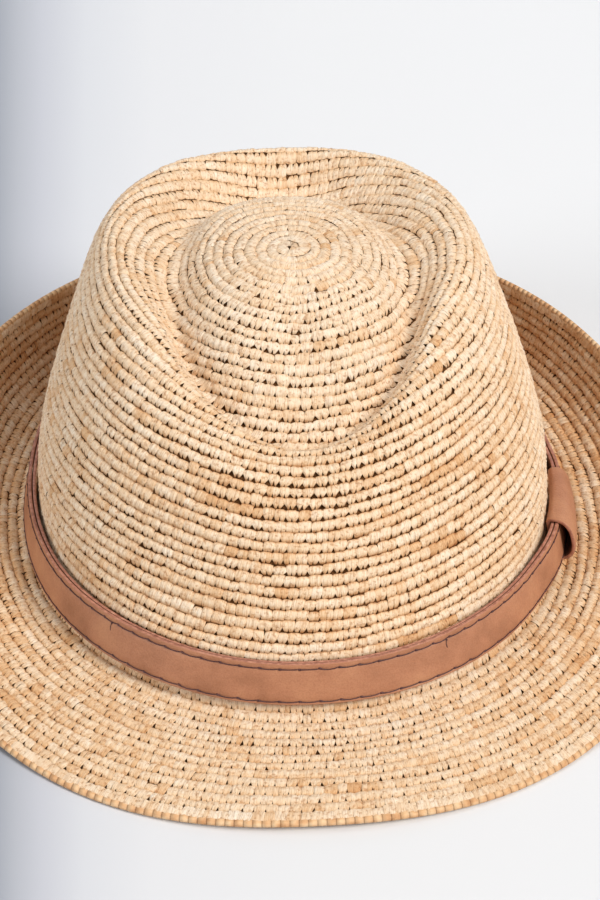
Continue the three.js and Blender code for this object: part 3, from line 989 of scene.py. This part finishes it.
def sewing():
    """Stitches from hole to hole along both edges of the band's face."""
    unit = bmesh.new()
    bmesh.ops.create_cone(unit, cap_ends=False, segments=THREAD_SIDES, radius1=1.0, radius2=1.0, depth=1.0)
    ring = np.array([v.co[:2] for v in unit.verts if v.co.z < 0])
    unit.free()
    ring = ring[np.argsort(np.arctan2(ring[:, 1], ring[:, 0]))]
    count = round(BAND_LENGTH / STITCH_PITCH)
    share, wide, over, aside = THREAD_ROWS.T[:, :, None]
    z = BAND_THICKNESS + (over + wide * ring[:, 1]) * MM
    bm = bmesh.new()

    def thread(x, y):
        """A tube along one stitch, from places along the strip and up its face."""
        places = strap_point(angle_at(x.ravel() % BAND_LENGTH), y.ravel(), z.ravel())
        verts = [bm.verts.new(co) for co in places]
        for row in range(len(THREAD_ROWS) - 1):
            for side in range(THREAD_SIDES):
                a = row * THREAD_SIDES + side
                b = row * THREAD_SIDES + (side + 1) % THREAD_SIDES
                bm.faces.new([verts[a], verts[b], verts[b + THREAD_SIDES], verts[a + THREAD_SIDES]])

    for line in (LOWER_SEAM, UPPER_SEAM):
        for k in range(count):
            bow = 1 + float(chance.normal(0, 0.35))
            thread((k + share + 0 * ring[:, 0]) / count * BAND_LENGTH,
                   line + (aside * bow + wide * ring[:, 0]) * MM)
    for angle in TACKS:
        middle = np.interp(angle + 360 * (angle < JOIN), walk, walked)
        thread(middle + (aside + wide * ring[:, 0]) * MM,
               UPPER_SEAM - TACK_LENGTH * share - 0.2 * MM + 0 * ring[:, 0])
    bmesh.ops.recalc_face_normals(bm, faces=bm.faces)
    return bm_piece("band_sewing", bm, [THREAD])


leather_piece(sewing(), "band_face")

# %% [markdown]
# ## The keeper
# A short loop of the same leather holds the band where its ends meet. It is wider than the band
# needs, so its front lip stands open. A flat piece is bent into the loop, closed, given its
# thickness, and its lips are rounded and painted like the band's edges.

# %% The keeper's loop
AROUND_LOOP = 56
ALONG_LOOP = 20
FRONT_STEPS = 24          # of the loop's bulging front
LOOP_CORNER = 1.3 * MM    # cut off the corners behind the band
LOOP_START = 0.5 * MM     # depth at which the bulge begins
LIP_ROUNDING = 0.45 * MM


def loop_outline(clearance, hollow):
    """Depth and height of the loop's section, from behind the band round its front."""
    outline = [
        (LOOP_CORNER - clearance, -clearance),
        (-clearance, LOOP_CORNER - clearance),
        (-clearance, BAND_HEIGHT + clearance - LOOP_CORNER),
        (LOOP_CORNER - clearance, BAND_HEIGHT + clearance),
    ]
    for step in range(FRONT_STEPS + 1):
        turn = math.pi * (0.5 - step / FRONT_STEPS)
        side = max(math.cos(turn), 0) ** (2 / KEEPER_ROUNDNESS)
        rise = math.copysign(abs(math.sin(turn)) ** (2 / KEEPER_ROUNDNESS), math.sin(turn))
        outline.append((LOOP_START + side * (BAND_THICKNESS - LOOP_START + hollow + clearance),
                        BAND_HEIGHT / 2 + rise * (BAND_HEIGHT / 2 + clearance)))
    closed = np.array(outline + outline[:1])
    walked = np.concatenate([[0], np.cumsum(np.linalg.norm(np.diff(closed, axis=0), axis=1))])
    places = np.arange(AROUND_LOOP + 1) / AROUND_LOOP * walked[-1]
    return np.stack([np.interp(places, walked, closed[:, k]) for k in range(2)], axis=1)


def keeper():
    """A flat grid rolled up round the band, thickened inwards, with rounded lips."""
    bm = bmesh.new()
    bmesh.ops.create_grid(bm, x_segments=ALONG_LOOP, y_segments=AROUND_LOOP, size=0.5)
    flat = np.array([(v.co.x + 0.5, v.co.y + 0.5) for v in bm.verts])
    points = np.zeros((len(flat), 3))
    for i, (share, around) in enumerate(flat):
        hollow = KEEPER_FRONT_HOLLOW + (KEEPER_BACK_HOLLOW - KEEPER_FRONT_HOLLOW) * share
        outline = loop_outline(KEEPER_CLEARANCE + KEEPER_WALL, hollow)
        place = around * AROUND_LOOP
        k = min(int(place + 1e-6), AROUND_LOOP - 1)
        depth, height = outline[k] + (outline[k + 1] - outline[k]) * (place - k)
        angle = KEEPER_START + (KEEPER_END - KEEPER_START) * share
        points[i] = strap_point(np.array([angle]), np.array([height]), np.array([depth]))[0]
    for v, co in zip(bm.verts, points):
        v.co = co
    bmesh.ops.remove_doubles(bm, verts=bm.verts, dist=0.01 * MM)
    bmesh.ops.recalc_face_normals(bm, faces=bm.faces)
    middle = sum((v.co for v in bm.verts), Vector()) / len(bm.verts)
    outer = [f for f in bm.faces if (f.calc_center_median() - middle).dot(f.normal) > 0]
    if len(outer) < len(bm.faces) / 2:
        bmesh.ops.reverse_faces(bm, faces=bm.faces)
    bmesh.ops.solidify(bm, geom=bm.faces, thickness=KEEPER_WALL)
    bmesh.ops.recalc_face_normals(bm, faces=bm.faces)
    for f in bm.faces:
        centre = f.calc_center_median()
        round_hat = Vector((FORWARD - centre.y, centre.x, 0)).normalized()
        if abs(f.normal.dot(round_hat)) > 0.7:
            f.material_index = 1
        else:
            # Inner faces get the flesh side, painted darker as the shade inside the loop.
            f.material_index = 2 if (centre - middle).dot(f.normal) < 0 else 0
    lips = [e for e in bm.edges if e.calc_face_angle(0) > SHARP]
    bmesh.ops.bevel(bm, geom=lips, offset=LIP_ROUNDING, segments=3, profile=0.5,
                    affect="EDGES", material=-1, clamp_overlap=True)
    return bm_piece("keeper_loop", bm, [LEATHER, EDGE_PAINT, FLESH_PAINTED_DARK])


leather_piece(keeper(), "band_keeper")

# %% [markdown]
# ## Floor, backdrop and light
# The hat lies on plain white paper in a small studio. A large soft lamp stands at the front right,
# a weaker one at the left and a faint one above, so the shadows are short and soft. On the paper a
# soft grey shadow left of the hat is painted, and the paper is painted a little darker towards the front.

# %% The studio
SWEEP = 3.0                # half the floor's width, and the wall's height
# The grey strip left of the hat is painted shadow on the paper.
SHADE_REACH = (-0.25, 0.55)      # the shade widens between these depths
SHADE_MIDDLE = 0.15
SHADE_FADE = (0.42, 0.9)   # distances from its middle over which it fades out
NO_SHADE = "#e0e4ea"

# Lamps: name, place in metres, width, watts and colour
LAMPS = (
    ("key_lamp", (2.7, -1.9, 3.2), 2.2, 184, "#fff9f2"),
    ("side_lamp", (-4.0, -2.1, 2.4), 2.4, 95, "#fbf9f6"),
    ("top_lamp", (-0.6, 0.4, 4.7), 2.6, 30, "#fbfcff"),
)


def paper_material():
    """White paper with a painted soft grey shadow left of the hat, wider further back, and painted a little
    darker towards the front.
    """
    material = new_material("white paper sweep")
    split = add(material, "ShaderNodeSeparateXYZ", {"Vector": coordinates(material, "Object")})
    x, y = split.outputs["X"], split.outputs["Y"]
    depth = add(material, "ShaderNodeClamp", {
        "Value": y, "Min": SHADE_REACH[0], "Max": SHADE_REACH[1],
    }).outputs[0]
    left = calc(material, "ADD", x, calc(material, "MULTIPLY_ADD", depth, 0.0541, 0.097))
    wide = calc(material, "MULTIPLY_ADD", depth, 0.502, 0.402)
    share = calc(material, "ADD", calc(material, "DIVIDE", left, wide), 0.5)
    # Painted shadow: grey just left of the hat, fading back to white further out.
    colour = ramp(material, share, [
        (0.1, NO_SHADE), (0.44, "#a6acb7"), (0.5, "#a6acb7"), (0.515, "#b9bec8"), (0.535, "#c9cdd7"),
        (0.57, "#dbdfe6"), (0.625, "#e5e8ed"), (0.75, "#e9ecf0"), (0.9, "#eaedf1"),
    ])
    far = calc(material, "ABSOLUTE", calc(material, "SUBTRACT", y, SHADE_MIDDLE))
    fade = add(material, "ShaderNodeMapRange", {
        "Value": far, "From Min": SHADE_FADE[0], "From Max": SHADE_FADE[1],
    }).outputs["Result"]
    colour = add(material, "ShaderNodeMix", {0: fade, 6: colour, 7: linear(NO_SHADE)},
                 data_type="RGBA").outputs[2]
    # Painted light and shade: the paper darkens to 92 % towards the front and is lighter further back.
    near = add(material, "ShaderNodeMapRange", {
        "Value": y, "From Min": -0.2, "From Max": 0.5, "To Min": 0.92, "To Max": 1.0,
    }).outputs["Result"]
    toned = add(material, "ShaderNodeVectorMath", {0: colour, "Scale": near}, operation="SCALE")
    return finish(material, toned.outputs[0], None, {"Roughness": 0.9})


def studio():
    """A floor whose rear edge is drawn up into a wall."""
    bm = bmesh.new()
    bmesh.ops.create_grid(bm, x_segments=1, y_segments=1, size=SWEEP)
    rear = [e for e in bm.edges if all(v.co.y > SWEEP - 0.1 for v in e.verts)]
    raised = bmesh.ops.extrude_edge_only(bm, edges=rear)["geom"]
    top = [g for g in raised if isinstance(g, bmesh.types.BMVert)]
    bmesh.ops.translate(bm, verts=top, vec=(0, 0, SWEEP))
    mesh = bpy.data.meshes.new("studio")
    bm.to_mesh(mesh)
    bm.free()
    mesh.materials.append(paper_material())
    made = bpy.data.objects.new("studio", mesh)
    bpy.context.collection.objects.link(made)


def lamp(name, place, size, power, colour):
    """A round soft lamp that looks at the middle of the hat."""
    data = bpy.data.lights.new(name, "AREA")
    data.shape = "DISK"
    data.size = size
    data.energy = power
    data.color = linear(colour)[:3]
    made = bpy.data.objects.new(name, data)
    made.location = place
    made.rotation_euler = (Vector(place) - Vector((0, 0, 0.04))).to_track_quat("Z", "Y").to_euler()
    bpy.context.collection.objects.link(made)


studio()
for row in LAMPS:
    lamp(*row)
world = bpy.data.worlds.new("studio air")
world.use_nodes = True
world.node_tree.nodes["Background"].inputs["Color"].default_value = linear("#eff0f2")
world.node_tree.nodes["Background"].inputs["Strength"].default_value = 0.30
bpy.context.scene.world = world
bpy.context.scene.view_settings.view_transform = "Standard"
print("lamps:", ", ".join(row[0] for row in LAMPS))
